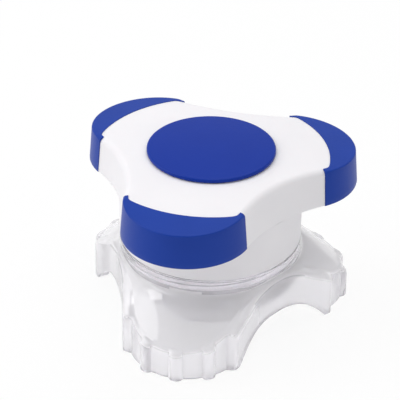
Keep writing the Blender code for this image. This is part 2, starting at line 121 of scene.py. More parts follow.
# base
BASE_TIP_CENTRE = 0.0233
BASE_TIP_RADIUS = 0.0166
BASE_SIDE_CENTRE = 0.1200
BASE_WALL = 0.0015
BASE_DRAFT = 0.0002                              # how much wider the skirt is at the floor
NECK_RADIUS = 0.0250
NECK_LOWER_RADIUS = 0.0244
NECK_BOTTOM = 0.0129
RIM_ROUND = 0.0004
RIM_ARC = 0.9 * RIM_ROUND                        # leaves a flat between the rim's two arcs
SHOULDER_HEIGHT = 0.0178                         # dome meets the neck over a lobe
SHOULDER_RISE = 0.0016                           # how much higher it meets it between lobes
SHOULDER_POWER = 4
SHOULDER_FILLET = 0.0016
SHOULDER_SHARE = 0.4                             # most of the dome's run that the fillet takes
SKIRT_TIP_HEIGHT = 0.0088
SKIRT_SIDE_HEIGHT = 0.0188
SKIRT_TOP_POWER = 1.2
DOME_THICKNESS = 0.0020
DOME_POWER = 1.25                                # how late the dome's fall comes
DOME_EDGE_ROUND = 0.0024
DOME_EDGE_SHARE = 0.5                            # most of the room to the neck that it takes
DOME_LEAST_UP = 0.4                              # a face that looks up more than this is dome
CEILING_CORNER = 0.0005
CEILING_MARGIN = 0.05                            # share of the ceiling left free at each end
ARCH_HEIGHT = 0.0085                             # opening between two feet
ARCH_POWER = 2.44
FOOT_ROUND = 0.0003
RIB_ANGLES = [math.radians(angle) for angle in (-28, 5, 38)]
RIB_HALF_ANGLE = math.radians(7)
RIB_RECESS = 0.0012                              # wall between ribs, behind the outline
RIB_HEIGHT = 0.0013
RIB_POWER = 0.6                                  # under 1 gives a rib steep flanks
CORNER_START = math.radians(57)
CORNER_FULL = math.radians(65)
CORNER_HEIGHT = 0.0019
CORNER_RUN = 0.3                                 # share of a side over which a corner dies away

# cup and plunger
CUP_FLOOR = 0.0024
CUP_FLOOR_RADIUS = 0.0112
CUP_WAIST_RADIUS = 0.0168
CUP_WAIST = 0.0095                               # the steep taper ends here
CUP_WALL = 0.0018
CUP_EDGE = 0.0008                                # chamfers of its floor, mouth and foot
CUP_MOUTH_STEP = 0.0004
CUP_LIP = 0.0012                                 # height of the band under the neck
RIDGE_HEIGHT = 0.0006
PLUNGER_FACE = PLUNGER_LOW + RIDGE_HEIGHT
PLUNGER_FACE_RADIUS = 0.0105
PLUNGER_WAIST_RADIUS = 0.0160
PLUNGER_WAIST = 0.0104
PLUNGER_SHOULDER = 0.0130                        # the threaded part begins here
PLUNGER_THREAD_LOW = 0.0138                      # first of the rings that carry the thread
PLUNGER_FLANGE = 0.0223                          # underside of the flange
FLANGE_THICKNESS = 0.0018
FLANGE_TILT = 0.00001                            # keeps its underside off the thread's last ring
STORE_RADIUS = 0.0158
STORE_WALL = 0.0017
STORE_FLOOR = 0.0062
STORE_WAIST = 0.0119
RIDGE_COUNT = 6
RIDGE_WIDTH = 0.0009
RIDGE_INNER = 0.0022
RIDGE_OUTER = 0.0096

# barrel and lid
BARREL_WALL = 0.0018
BARREL_EDGE = 0.0006
PIECE_GAP = 0.0003
LID_EDGE = 0.0005
LID_UNDERSIDE = KNOB_CROWN + PIECE_GAP
LID_PLUG_RADIUS = 0.0154
LID_PLUG_WALL = 0.0012
LID_TOP_PLATE = 0.0018

# edge rounds and small steps that several pieces share
BEND_ROUND = 0.0030                              # between two tapers
STORE_BEND = 0.0020
STORE_FLOOR_ROUND = 0.0010
SMALL_ROUND = 0.0006
CORNER_ROUND = 0.0005
EDGE_ROUND = 0.0004
FINE_ROUND = 0.0003
BREAK_ROUND = 0.0002
HAIR_ROUND = 0.0001
RING_GAP = 0.0001                                # keeps a ring clear of the one before it
HUB_RADIUS = 0.0006                              # innermost ring of a closed end

# mesh density: points along each feature
TURN_STEPS = 192
ARC_STEPS = 5
RIDGE_RINGS = 18
BASE_TIP_POINTS = 115
BASE_SIDE_STEPS = 42
NECK_THREAD_RINGS = 76
PLUNGER_THREAD_RINGS = 84
SHOULDER_STEPS = 5
DOME_RINGS = 14
DOME_EDGE_STEPS = 6
SKIRT_RINGS = 8
FOOT_STEPS = 4
INNER_WALL_RINGS = 6
CEILING_RINGS = 12
KNOB_TIP_POINTS = 54                             # from the middle of a grip to its end
KNOB_END_POINTS = 5                              # from there to the concave side
KNOB_SIDE_STEPS = 48
KNOB_TOP_RINGS = 15
KNOB_FILLET_STEPS = 10
KNOB_WALL_RINGS = 6
KNOB_FOOT_STEPS = 3
GRIP_CUTS = 107
GRIP_FACE_POINTS = 7
GRIP_EDGE_STEPS = 5
GRIP_TOP_POINTS = 12
FLOOR_SEGMENTS = 96

# shading
CREASE_ANGLE = math.radians(32)                  # sharper edges than this are shaded sharp
LEAST_TURN = 0.02                                # a corner that turns less stays as it is
MIX_FACTOR, MIX_FIRST, MIX_SECOND, MIX_RESULT = 0, 6, 7, 2    # colour sockets of a Mix node
CLOUD_SCALE = 90.0                               # slow clouds between a plastic's two tones
CLOUD_DETAIL = 2.0
GRAIN_DETAIL = 4.0
GRAIN_STRENGTH = 0.25
GLOSS_SPREAD = 0.05                              # roughness to either side of its middle
MOULDED_IOR = 1.40
SCUFF_SCALE = 700.0
SCUFF_DETAIL = 5.0
SCUFF_ROUGHNESS = 0.07                           # where the clear plastic is most scuffed
RIPPLE_SCALE = 60.0
RIPPLE_DETAIL = 1.0
RIPPLE_STRENGTH = 0.05
RIPPLE_DEPTH = 0.00003
CLEAR_TINT = (0.885, 0.875, 0.90, 1.0)
CLEAR_IOR = 1.44
CLEAR_COAT = 0.7
CLEAR_COAT_ROUGHNESS = 0.04
CLEAR_FINISHES = (                               # name and transmission
    ("glossy_clear_look", 0.87),
    ("hazy_clear_look", 0.69),
    ("frosted_clear_look", 0.26),
)
GLOSSY, HAZY, FROSTED = 0, 1, 2                  # their slots on the clear base

# camera and stage
CAMERA_AZIMUTH = math.radians(15.2)
CAMERA_ELEVATION = math.radians(31.7)
CAMERA_DISTANCE = 0.430
CAMERA_LENS = 141.6
SENSOR_WIDTH = 36.0
CAMERA_ROLL = math.radians(0.60)
CAMERA_SIDE = -0.00290                           # aim point, to the right of the axis
CAMERA_AIM_HEIGHT = 0.03215
CLIP_START = 0.01
CLIP_END = 20
FLOOR_RADIUS = 4.0
FLOOR_DROP = 0.0001                              # below the base's feet
FLOOR_COLOUR = (0.93, 0.93, 0.93, 1.0)
FLOOR_ROUGHNESS = 0.9
FLOOR_SPECULAR = 0.1
AMBIENT = 0.57                                   # brightness of the studio's walls
STUDIO_LIFT = 4.0                                # see lift_behind_clear
FLOOR_LIFT = 1.7
FLOOR_GLOW = 0.9                                 # share of plain white in the floor that is seen
LIGHTS = (                                       # name, azimuth, elevation, distance, size, power
    ("left_box", -75, 35, 0.9, 0.6, 2.2),
    ("right_box", 100, 25, 1.0, 0.4, 0.2),
    ("window_box", -85, 60, 0.9, 0.25, 0.8),
    ("top_box", 160, 75, 0.9, 0.7, 2.5),
)


# ---- small helpers --------------------------------------------------------------------------------
def smooth(value, start, end):
    """0 before start, 1 after end, and an S-curve between."""
    share = min(1.0, max(0.0, (value - start) / (end - start)))
    return share * share * (3 - 2 * share)


def spread(low, high, count):
    """count numbers from low to high, both included."""
    return [low + (high - low) * step / (count - 1) for step in range(count)]


def lifted(point, height):
    return Vector((point.x, point.y, height))


def quarter(count):
    """Quarter turn as (sine, cosine) pairs, without its end points."""
    angles = [math.pi / 2 * step / count for step in range(1, count)]
    return [(math.sin(angle), math.cos(angle)) for angle in angles]


def rounded(profile, radii):
    """Replace the corners of an open (radius, height) profile by arcs of the given radii."""
    points = [Vector(corner) for corner in profile]
    result = [points[0]]
    for before, corner, after, radius in zip(points, points[1:], points[2:], radii):
        into = (corner - before).normalized()
        away = (after - corner).normalized()
        turn = into.angle(away)
        if turn < LEAST_TURN:
            result.append(corner)
            continue
        reach = radius * math.tan(turn / 2)
        start = corner - into * reach
        finish = corner + away * reach
        for share in spread(0.0, 1.0, ARC_STEPS + 1):
            # a rational quadratic curve with this weight is an exact arc
            weight = math.cos(turn / 2)
            parts = ((1 - share) ** 2, 2 * share * (1 - share) * weight, share ** 2)
            result.append((start * parts[0] + corner * parts[1] + finish * parts[2]) / sum(parts))
    result.append(points[-1])
    return result


# ---- outlines -------------------------------------------------------------------------------------
def side_span(tip_centre, side_centre):
    """Angle about a tip arc's centre at which the concave side takes over."""
    return math.atan2(side_centre * math.sin(VALLEY), side_centre * math.cos(VALLEY) - tip_centre)


def outline(tip_centre, tip_radius, side_centre, tip_angles, side_steps):
    """Points round a three-lobed outline, as (point, outward normal, tip angle, side fraction)."""
    span = side_span(tip_centre, side_centre)
    distance = math.hypot(side_centre * math.sin(VALLEY), side_centre * math.cos(VALLEY) - tip_centre)
    side_radius = distance - tip_radius
    points = []
    for lobe in LOBE_ANGLES:
        centre = tip_centre * Vector((math.cos(lobe), math.sin(lobe)))
        for angle in tip_angles:
            normal = Vector((math.cos(lobe + angle), math.sin(lobe + angle)))
            points.append((centre + tip_radius * normal, normal, angle, None))
        side = side_centre * Vector((math.cos(lobe + VALLEY), math.sin(lobe + VALLEY)))
        for fraction in spread(0.0, 1.0, side_steps + 1)[1:-1]:
            direction = lobe + VALLEY + (VALLEY - span) * (2 * fraction - 1)
            normal = Vector((math.cos(direction), math.sin(direction)))
            points.append((side - side_radius * normal, normal, None, fraction))
    return points


# ---- mesh builders --------------------------------------------------------------------------------
def finish_mesh(name, builder, material):
    """Turn a bmesh into a named object with outward faces and smooth shading."""
    bmesh.ops.recalc_face_normals(builder, faces=builder.faces)
    mesh = bpy.data.meshes.new(name)
    builder.to_mesh(mesh)
    builder.free()
    mesh.shade_smooth()
    mesh.set_sharp_from_angle(angle=CREASE_ANGLE)
    mesh.materials.append(material)
    piece = bpy.data.objects.new(name, mesh)
    bpy.context.scene.collection.objects.link(piece)
    return piece


def skin(builder, rings, join_ends):
    """Quads between rings that run round the axis; join_ends ties the last ring to the first."""
    rows = [[builder.verts.new(point) for point in ring] for ring in rings]
    pairs = list(zip(rows, rows[1:]))
    if join_ends:
        pairs.append((rows[-1], rows[0]))
    count = len(rings[0])
    for upper, lower in pairs:
        for index in range(count):
            following = (index + 1) % count
            builder.faces.new((upper[index], upper[following], lower[following], lower[index]))
    return rows


def close_end(builder, row, centre):
    """Triangle fan from a ring to a point on the axis."""
    hub = builder.verts.new(centre)
    for index, vert in enumerate(row):
        builder.faces.new((vert, row[(index + 1) % len(row)], hub))


def columns_to_rings(columns):
    return [list(ring) for ring in zip(*columns)]


def turned(name, profile, material, relief=None):
    """Piece turned about Z from a (radius, height) profile.

    relief(radius, height, angle) may move each point and returns its new radius and height. A
    profile that starts and ends on the axis is closed there; any other one makes a ring.
    """
    solid = profile[0][0] == 0
    inner = profile[1:-1] if solid else profile
    columns = []
    for step in range(TURN_STEPS):
        angle = 2 * math.pi * step / TURN_STEPS
        column = []
        for radius, height in inner:
            if relief:
                radius, height = relief(radius, height, angle)
            column.append(Vector((radius * math.cos(angle), radius * math.sin(angle), height)))
        columns.append(column)
    builder = bmesh.new()
    rows = skin(builder, columns_to_rings(columns), join_ends=not solid)
    if solid:
        close_end(builder, rows[0], Vector((0, 0, profile[0][1])))
        close_end(builder, rows[-1], Vector((0, 0, profile[-1][1])))
    return finish_mesh(name, builder, material)


def thread_ridge(angle, height, start_height):
    """Height of a right-hand ridge, 0 to 1, at a place on the wall that carries the thread."""
    best = 0.0
    for start in range(THREAD_STARTS):
        first = 2 * math.pi * start / THREAD_STARTS
        base_turn = (angle - first) % (2 * math.pi)
        for lap in range(math.ceil(THREAD_TURNS)):
            turn = base_turn + 2 * math.pi * lap
            if turn > 2 * math.pi * THREAD_TURNS:
                continue
            middle = start_height + THREAD_LEAD * turn / (2 * math.pi)
            off = min(1.0, abs(height - middle) / THREAD_HALF_WIDTH)
            rise = math.cos(math.pi / 2 * off) ** 2
            to_end = 2 * math.pi * THREAD_TURNS - turn
            fade = smooth(turn, 0, THREAD_FADE) * smooth(to_end, 0, THREAD_FADE)
            best = max(best, rise * fade)
    return best


def grinding_ridge(radius, angle, turn):
    """Height of a radial grinding ridge, 0 to 1."""
    if not RIDGE_INNER <= radius <= RIDGE_OUTER:
        return 0.0
    pitch = 2 * math.pi / RIDGE_COUNT
    off = (angle - turn + pitch / 2) % pitch - pitch / 2
    across = abs(radius * math.sin(off))
    return smooth(RIDGE_WIDTH / 2 - across, 0, RIDGE_WIDTH / 4)


# ---- materials ------------------------------------------------------------------------------------
def node_material(name):
    """Material with object coordinates, and its shader and tree."""
    material = bpy.data.materials.new(name)
    material.use_nodes = True
    tree = material.node_tree
    shader = tree.nodes["Principled BSDF"]
    place = tree.nodes.new("ShaderNodeTexCoord").outputs["Object"]
    return material, tree, shader, place


def noise(tree, place, scale, detail):
    texture = tree.nodes.new("ShaderNodeTexNoise")
    texture.inputs["Scale"].default_value = scale
    texture.inputs["Detail"].default_value = detail
    tree.links.new(place, texture.inputs["Vector"])
    return texture.outputs["Fac"]


def mapped(tree, value, low, high):
    """A 0 to 1 value stretched to low to high."""
    node = tree.nodes.new("ShaderNodeMapRange")
    node.inputs["To Min"].default_value = low
    node.inputs["To Max"].default_value = high
    tree.links.new(value, node.inputs["Value"])
    return node.outputs["Result"]


def add_bump(tree, shader, height, strength, distance):
    bump = tree.nodes.new("ShaderNodeBump")
    bump.inputs["Strength"].default_value = strength
    bump.inputs["Distance"].default_value = distance
    tree.links.new(height, bump.inputs["Height"])
    tree.links.new(bump.outputs["Normal"], shader.inputs["Normal"])


def moulded_plastic(name, shade, tone, roughness, grain_scale, grain_depth):
    """Opaque moulded plastic: two close tones in slow clouds, fine grain in gloss and surface.

    Gives the material and its shader.
    """
    material, tree, shader, place = node_material(name)
    mix = tree.nodes.new("ShaderNodeMix")
    mix.data_type = "RGBA"
    mix.inputs[MIX_FIRST].default_value = (*shade, 1.0)
    mix.inputs[MIX_SECOND].default_value = (*tone, 1.0)
    tree.links.new(noise(tree, place, CLOUD_SCALE, CLOUD_DETAIL), mix.inputs[MIX_FACTOR])
    tree.links.new(mix.outputs[MIX_RESULT], shader.inputs["Base Color"])
    grain = noise(tree, place, grain_scale, GRAIN_DETAIL)
    gloss = mapped(tree, grain, roughness - GLOSS_SPREAD, roughness + GLOSS_SPREAD)
    tree.links.new(gloss, shader.inputs["Roughness"])
    add_bump(tree, shader, grain, GRAIN_STRENGTH, grain_depth)
    shader.inputs["IOR"].default_value = MOULDED_IOR
    return material, shader


def white_plastic():
    """White of the knob, barrel and plunger, which lets a little light in."""
    material, shader = moulded_plastic(
        "white_plastic_look", shade=(0.85, 0.835, 0.865), tone=(0.90, 0.885, 0.91),
        roughness=0.42, grain_scale=1500.0, grain_depth=0.00003)
    shader.inputs["Subsurface Weight"].default_value = 0.25
    shader.inputs["Subsurface Radius"].default_value = (1.0, 0.9, 0.9)
    shader.inputs["Subsurface Scale"].default_value = 0.0012
    return material


def blue_plastic():
    """Deep blue of the lid."""
    material, shader = moulded_plastic(
        "blue_plastic_look", shade=(0.001, 0.028, 0.300), tone=(0.002, 0.033, 0.335),
        roughness=0.36, grain_scale=1800.0, grain_depth=0.00003)
    shader.inputs["Specular IOR Level"].default_value = 0.25
    return material


def blue_grip():
    """Slightly lighter and duller blue of the grips."""
    material, shader = moulded_plastic(
        "blue_grip_look", shade=(0.003, 0.038, 0.310), tone=(0.006, 0.048, 0.365),
        roughness=0.42, grain_scale=1100.0, grain_depth=0.00006)
    shader.inputs["Specular IOR Level"].default_value = 0.3
    return material


def clear_plastic(name, transmission):
    """Clear moulded plastic with faint flow ripples and fine scuffing."""
    material, tree, shader, place = node_material(name)
    shader.inputs["Base Color"].default_value = CLEAR_TINT
    shader.inputs["Transmission Weight"].default_value = transmission
    shader.inputs["Coat Weight"].default_value = CLEAR_COAT
    shader.inputs["Coat Roughness"].default_value = CLEAR_COAT_ROUGHNESS
    shader.inputs["IOR"].default_value = CLEAR_IOR
    scuff = noise(tree, place, SCUFF_SCALE, SCUFF_DETAIL)
    tree.links.new(mapped(tree, scuff, 0.0, SCUFF_ROUGHNESS), shader.inputs["Roughness"])
    ripples = noise(tree, place, RIPPLE_SCALE, RIPPLE_DETAIL)
    add_bump(tree, shader, ripples, RIPPLE_STRENGTH, RIPPLE_DEPTH)
    return material


# ---- clear base -----------------------------------------------------------------------------------
def rib_offset(angle, fraction):
    """How far the skirt stands out from the base outline at a tip angle or a side fraction."""
    if angle is None:
        from_end = min(fraction, 1 - fraction)
        return (CORNER_HEIGHT - RIB_RECESS) * (1 - smooth(from_end, 0.0, CORNER_RUN))
    if abs(angle) >= CORNER_START:
        return -RIB_RECESS + CORNER_HEIGHT * smooth(abs(angle), CORNER_START, CORNER_FULL)
    nearest = min(abs(angle - rib) for rib in RIB_ANGLES)
    if nearest >= RIB_HALF_ANGLE:
        return -RIB_RECESS
    return -RIB_RECESS + RIB_HEIGHT * (1 - (nearest / RIB_HALF_ANGLE) ** 2) ** RIB_POWER


def skirt_top(point):
    """Height of the skirt's top edge: low at the lobe tips, high between the lobes."""
    reach = BASE_TIP_CENTRE + BASE_TIP_RADIUS
    valley = NECK_RADIUS + BASE_WALL
    share = min(1.0, max(0.0, (reach - point.length) / (reach - valley)))
    return SKIRT_TIP_HEIGHT + (SKIRT_SIDE_HEIGHT - SKIRT_TIP_HEIGHT) * share ** SKIRT_TOP_POWER


def skirt_bottom(fraction):
    """Height of the skirt's lower edge: on the floor at a lobe, arched between the lobes."""
    if fraction is None:
        return 0.0
    return ARCH_HEIGHT * (1 - abs(2 * fraction - 1) ** ARCH_POWER)


def shoulder(angle):
    """Height at which the dome meets the neck, by the direction from the axis."""
    past_lobe = len(LOBE_ANGLES) * (angle - LOBE_ANGLES[0])
    return SHOULDER_HEIGHT + SHOULDER_RISE * (0.5 - 0.5 * math.cos(past_lobe)) ** SHOULDER_POWER


def dome_fall(share):
    """How far the dome has dropped, 0 to 1, at a share of the way from the neck to its edge."""
    return share ** DOME_POWER


def ring_of(radial, profile):
    """Points of a (radius, height) profile along one direction from the axis."""
    return [lifted(radial * radius, height) for radius, height in profile]


def cup_inside(radial, angle):
    """From the middle of the cup's floor out and up to the neck's bore."""
    column = []
    for radius in spread(HUB_RADIUS, CUP_FLOOR_RADIUS - CUP_EDGE, RIDGE_RINGS):
        ridge = RIDGE_HEIGHT * grinding_ridge(radius, angle, 0.0)
        column.append(lifted(radial * radius, CUP_FLOOR + ridge))
    wall = [(CUP_FLOOR_RADIUS - CUP_EDGE, CUP_FLOOR), (CUP_FLOOR_RADIUS, CUP_FLOOR),
            (CUP_WAIST_RADIUS, CUP_WAIST), (NECK_BORE - CUP_MOUTH_STEP, CUP_TOP - CUP_EDGE),
            (NECK_BORE, CUP_TOP)]
    return column + ring_of(radial, rounded(wall, (SMALL_ROUND, BEND_ROUND, SMALL_ROUND))[1:])


def neck_and_rim(radial, angle):
    """Threaded bore, round rim, and the neck's outside down to the shoulder's fillet."""
    column = []
    start = THREAD_START + THREAD_LEAD / 4
    for height in spread(CUP_TOP + RING_GAP, RIM_HEIGHT - RIM_ROUND, NECK_THREAD_RINGS):
        ridge = NECK_THREAD_DEPTH * thread_ridge(angle, height, start)
        column.append(lifted(radial * (NECK_BORE - ridge), height))
    rim = [(NECK_BORE, RIM_HEIGHT - RIM_ROUND), (NECK_BORE, RIM_HEIGHT), (NECK_RADIUS, RIM_HEIGHT),
           (NECK_RADIUS, RIM_HEIGHT - 2 * RIM_ROUND)]
    return column + ring_of(radial, rounded(rim, (RIM_ARC, RIM_ARC))[1:])


def dome_top(neck, edge, joint, top):
    """From the neck over the shoulder's fillet and down the dome to its edge."""
    run = (edge - neck).length
    fillet = min(SHOULDER_FILLET, SHOULDER_SHARE * run)
    column = [lifted(neck, joint + fillet)]
    for sine, cosine in quarter(SHOULDER_STEPS):
        share = fillet * (1 - cosine) / run
        height = joint - (joint - top) * dome_fall(share)
        column.append(lifted(neck.lerp(edge, share), height + fillet * (1 - sine)))
    for share in spread(fillet / run, 1.0, DOME_RINGS):
        column.append(lifted(neck.lerp(edge, share), joint - (joint - top) * dome_fall(share)))
    return column


def skirt_and_foot(outer, inner, normal, high, top, bottom):
    """Down the skirt's outside from a height, round its foot, and up to its inner side."""
    column = []
    for height in spread(high, bottom + FOOT_ROUND, SKIRT_RINGS):
        drop = (top - height) / (top - bottom)
        column.append(lifted(outer + normal * BASE_DRAFT * drop, height))
    foot_outer = outer + normal * (BASE_DRAFT - FOOT_ROUND)
    foot_inner = inner + normal * (BASE_DRAFT + FOOT_ROUND)
    for sine, cosine in quarter(FOOT_STEPS):
        spot = foot_outer + normal * FOOT_ROUND * cosine
        column.append(lifted(spot, bottom + FOOT_ROUND * (1 - sine)))
    column.append(lifted(foot_outer, bottom))
    column.append(lifted(foot_inner, bottom))
    for sine, cosine in quarter(FOOT_STEPS):
        spot = foot_inner - normal * FOOT_ROUND * sine
        column.append(lifted(spot, bottom + FOOT_ROUND * (1 - cosine)))
    return column


def ceiling_and_cup(radial, inner, joint, top, bottom):
    """Up the skirt's inside, in under the dome, and down the cup's outside to its foot."""
    column = []
    ceiling = top - DOME_THICKNESS
    for height in spread(bottom + FOOT_ROUND, ceiling - CEILING_CORNER, INNER_WALL_RINGS):
        column.append(lifted(inner, height))
    lower_neck = NECK_LOWER_RADIUS * radial
    for share in spread(1 - CEILING_MARGIN, CEILING_MARGIN, CEILING_RINGS):
        height = joint - (joint - top) * dome_fall(share) - DOME_THICKNESS
        column.append(lifted(lower_neck.lerp(inner, share), height))
    cup = [(NECK_LOWER_RADIUS, CUP_TOP), (NECK_LOWER_RADIUS, CUP_TOP - CUP_LIP),
           (CUP_WAIST_RADIUS + CUP_WALL, CUP_WAIST - CUP_WALL - PIECE_GAP),
           (CUP_FLOOR_RADIUS + CUP_WALL, CUP_EDGE), (CUP_FLOOR_RADIUS + CUP_WALL - CUP_EDGE, 0.0),
           (HUB_RADIUS, 0.0)]
    return column + ring_of(radial, rounded(cup, (SMALL_ROUND, BEND_ROUND, FINE_ROUND, FINE_ROUND)))


def base_column(point, normal, angle, fraction):
    """One vertical cut through the clear moulding, from the cup's floor round to its underside."""
    direction = math.atan2(point.y, point.x)
    radial = Vector((math.cos(direction), math.sin(direction)))
    offset = rib_offset(angle, fraction)
    outer = point + normal * offset
    edge_round = min(DOME_EDGE_ROUND, DOME_EDGE_SHARE * (point.length - NECK_RADIUS))
    edge = point + normal * min(offset, -edge_round)
    inner = point - normal * (BASE_WALL + (RIB_RECESS if fraction is None else 0.0))
    top = skirt_top(point)
    bottom = skirt_bottom(fraction)
    joint = shoulder(direction)
    column = cup_inside(radial, direction) + neck_and_rim(radial, direction)
    column += dome_top(NECK_RADIUS * radial, edge, joint, top)
    for sine, cosine in quarter(DOME_EDGE_STEPS):
        column.append(lifted(edge.lerp(outer, sine), top - edge_round * (1 - cosine)))
    column += skirt_and_foot(outer, inner, normal, top - edge_round, top, bottom)
    column += ceiling_and_cup(radial, inner, joint, top, bottom)
    return column


def make_clear_base(finishes):
    """Cup, threaded neck, dome and skirt as the one clear moulding they are.

    The neck is glossy, the skirt is hazy, and the dome's top and the cup are frosted.
    """
    span = side_span(BASE_TIP_CENTRE, BASE_SIDE_CENTRE)
    tip_angles = spread(-span, span, BASE_TIP_POINTS)
    points = outline(BASE_TIP_CENTRE, BASE_TIP_RADIUS, BASE_SIDE_CENTRE, tip_angles, BASE_SIDE_STEPS)
    builder = bmesh.new()
    rows = skin(builder, columns_to_rings([base_column(*cut) for cut in points]), join_ends=False)
    close_end(builder, rows[0], Vector((0, 0, CUP_FLOOR)))
    close_end(builder, rows[-1], Vector((0, 0, 0)))
    bmesh.ops.recalc_face_normals(builder, faces=builder.faces)
    builder.normal_update()
    for face in builder.faces:
        middle = face.calc_center_median()
        radius = middle.xy.length
        on_cup = radius < NECK_LOWER_RADIUS and middle.z < CUP_TOP
        on_dome = radius > NECK_RADIUS and face.normal.z > DOME_LEAST_UP
        if on_cup or on_dome:
            face.material_index = FROSTED
        elif radius > NECK_RADIUS:
            face.material_index = HAZY
        else:
            face.material_index = GLOSSY
    piece = finish_mesh("clear_base", builder, finishes[GLOSSY])
    piece.data.materials.append(finishes[HAZY])
    piece.data.materials.append(finishes[FROSTED])
    return piece


# ---- turned pieces --------------------------------------------------------------------------------
def plunger_profile():
    """(radius, height) points from the grinding face up the outside and down into the tablet store."""
    store_outer = STORE_RADIUS + STORE_WALL
    flange_top = PLUNGER_FLANGE + FLANGE_THICKNESS
    profile = [(0.0, PLUNGER_FACE)]
    profile += [(radius, PLUNGER_FACE) for radius in spread(HUB_RADIUS, RIDGE_OUTER, RIDGE_RINGS)]
    # the last point lies under the shoulder, so the corner there ends in a thin lip
    taper = [(RIDGE_OUTER + RING_GAP, PLUNGER_FACE), (PLUNGER_FACE_RADIUS, PLUNGER_FACE),
             (PLUNGER_WAIST_RADIUS, PLUNGER_WAIST), (PLUNGER_ROOT, PLUNGER_SHOULDER),
             (PLUNGER_ROOT, NECK_BOTTOM)]
    profile += rounded(taper, (EDGE_ROUND, BEND_ROUND, SMALL_ROUND))
    threaded = spread(PLUNGER_THREAD_LOW, PLUNGER_FLANGE, PLUNGER_THREAD_RINGS)
    profile += [(PLUNGER_ROOT, height) for height in threaded]
    flange = [(PLUNGER_ROOT, PLUNGER_FLANGE + FLANGE_TILT), (FLANGE_RADIUS, PLUNGER_FLANGE),
              (FLANGE_RADIUS, flange_top), (store_outer, flange_top),
              (store_outer, PLUNGER_TOP), (STORE_RADIUS, PLUNGER_TOP), (STORE_RADIUS, PLUNGER_FLANGE),
              (PLUNGER_WAIST_RADIUS - STORE_WALL, STORE_WAIST),
              (PLUNGER_FACE_RADIUS - STORE_WALL, STORE_FLOOR), (0.0, STORE_FLOOR)]
    radii = [FINE_ROUND] * 5 + [STORE_BEND, STORE_BEND, STORE_FLOOR_ROUND]
    return profile + rounded(flange, radii)[1:]


def make_plunger(material):
    """White plunger: grinding face, taper, thread, flange and the tablet store's tube."""
    def relief(radius, height, angle):
        if radius == PLUNGER_ROOT:
            return radius + PLUNGER_THREAD_DEPTH * thread_ridge(angle, height, THREAD_START), height
        if height == PLUNGER_FACE:
            return radius, height - RIDGE_HEIGHT * grinding_ridge(radius, angle, math.pi / RIDGE_COUNT)
        return radius, height

    return turned("plunger_body", plunger_profile(), material, relief)


def make_barrel(material):
    """White sleeve below the knob, with a plate on top that the plunger passes."""
    inner = BARREL_RADIUS - BARREL_WALL
    hole = STORE_RADIUS + STORE_WALL + PIECE_GAP
    middle = 0.5 * (BARREL_BOTTOM + BARREL_TOP)
    profile = [(inner, middle + PIECE_GAP), (inner, BARREL_TOP - BARREL_WALL),
               (hole, BARREL_TOP - BARREL_WALL), (hole, BARREL_TOP), (BARREL_RADIUS, BARREL_TOP),
               (BARREL_RADIUS, BARREL_BOTTOM), (inner, BARREL_BOTTOM), (inner, middle - PIECE_GAP)]
    radii = (CORNER_ROUND, BREAK_ROUND, BREAK_ROUND, FINE_ROUND, BARREL_EDGE, FINE_ROUND)
    return turned("barrel_sleeve", rounded(profile, radii), material)


def make_lid(material):
    """Blue push-in lid: round-edged disc over a hollow plug."""
    plug_inner = LID_PLUG_RADIUS - LID_PLUG_WALL
    profile = [(0.0, LID_TOP), (LID_RADIUS, LID_TOP), (LID_RADIUS, LID_UNDERSIDE),
               (LID_PLUG_RADIUS, LID_UNDERSIDE), (LID_PLUG_RADIUS, LID_PLUG_BOTTOM),
               (plug_inner, LID_PLUG_BOTTOM), (plug_inner, LID_TOP - LID_TOP_PLATE),
               (0.0, LID_TOP - LID_TOP_PLATE)]
    radii = (LID_EDGE, HAIR_ROUND, HAIR_ROUND, EDGE_ROUND, FINE_ROUND, EDGE_ROUND)
    return turned("lid_disc", rounded(profile, radii), material)


# ---- knob -----------------------------------------------------------------------------------------
def knob_top(point):
    """Height of the crowned top at a distance from the axis."""
    reach = KNOB_TIP_CENTRE + KNOB_TIP_RADIUS
    share = min(1.0, max(0.0, (point.length - LID_RADIUS) / (reach - LID_RADIUS)))
    return KNOB_CROWN - KNOB_EDGE_DROP * share ** KNOB_TOP_POWER


def edge_height(point, normal, inset):
    """Height of the white top at an inset from the outline, over the fillet or inside it."""
    place = point - normal * inset
    if inset >= KNOB_FILLET:
        return knob_top(place)
    run = KNOB_FILLET - inset
    return knob_top(point - normal * KNOB_FILLET) - KNOB_FILLET + math.sqrt(KNOB_FILLET ** 2 - run ** 2)


def crescent_inset(point, normal, least):
    """Inset from the outline to the crescent's circle about the axis, never under the least one."""
    along = point.dot(normal)
    inset = along - math.sqrt(along ** 2 - point.length_squared + GRIP_CRESCENT_RADIUS ** 2)
    return 0.5 * (inset + least + math.hypot(inset - least, CRESCENT_BLEND))


def top_point(point, normal, inset):
    """Point of the white top at an inset from the outline."""
    return lifted(point - normal * inset, edge_height(point, normal, inset))


def knob_tip_angles():
    """Tip angles with two close cuts at each end of a grip's bed, where the bed steps down."""
    span = side_span(KNOB_TIP_CENTRE, KNOB_SIDE_CENTRE)
    half = spread(0.0, GRIP_HALF_ANGLE, KNOB_TIP_POINTS)[1:]
    half += [GRIP_HALF_ANGLE + cut * SEAM_ANGLE for cut in BED_END_CUTS]
    half += spread(GRIP_HALF_ANGLE + BARE_START_CUT * SEAM_ANGLE, span, KNOB_END_POINTS)
    return [-angle for angle in reversed(half)] + [0.0] + half


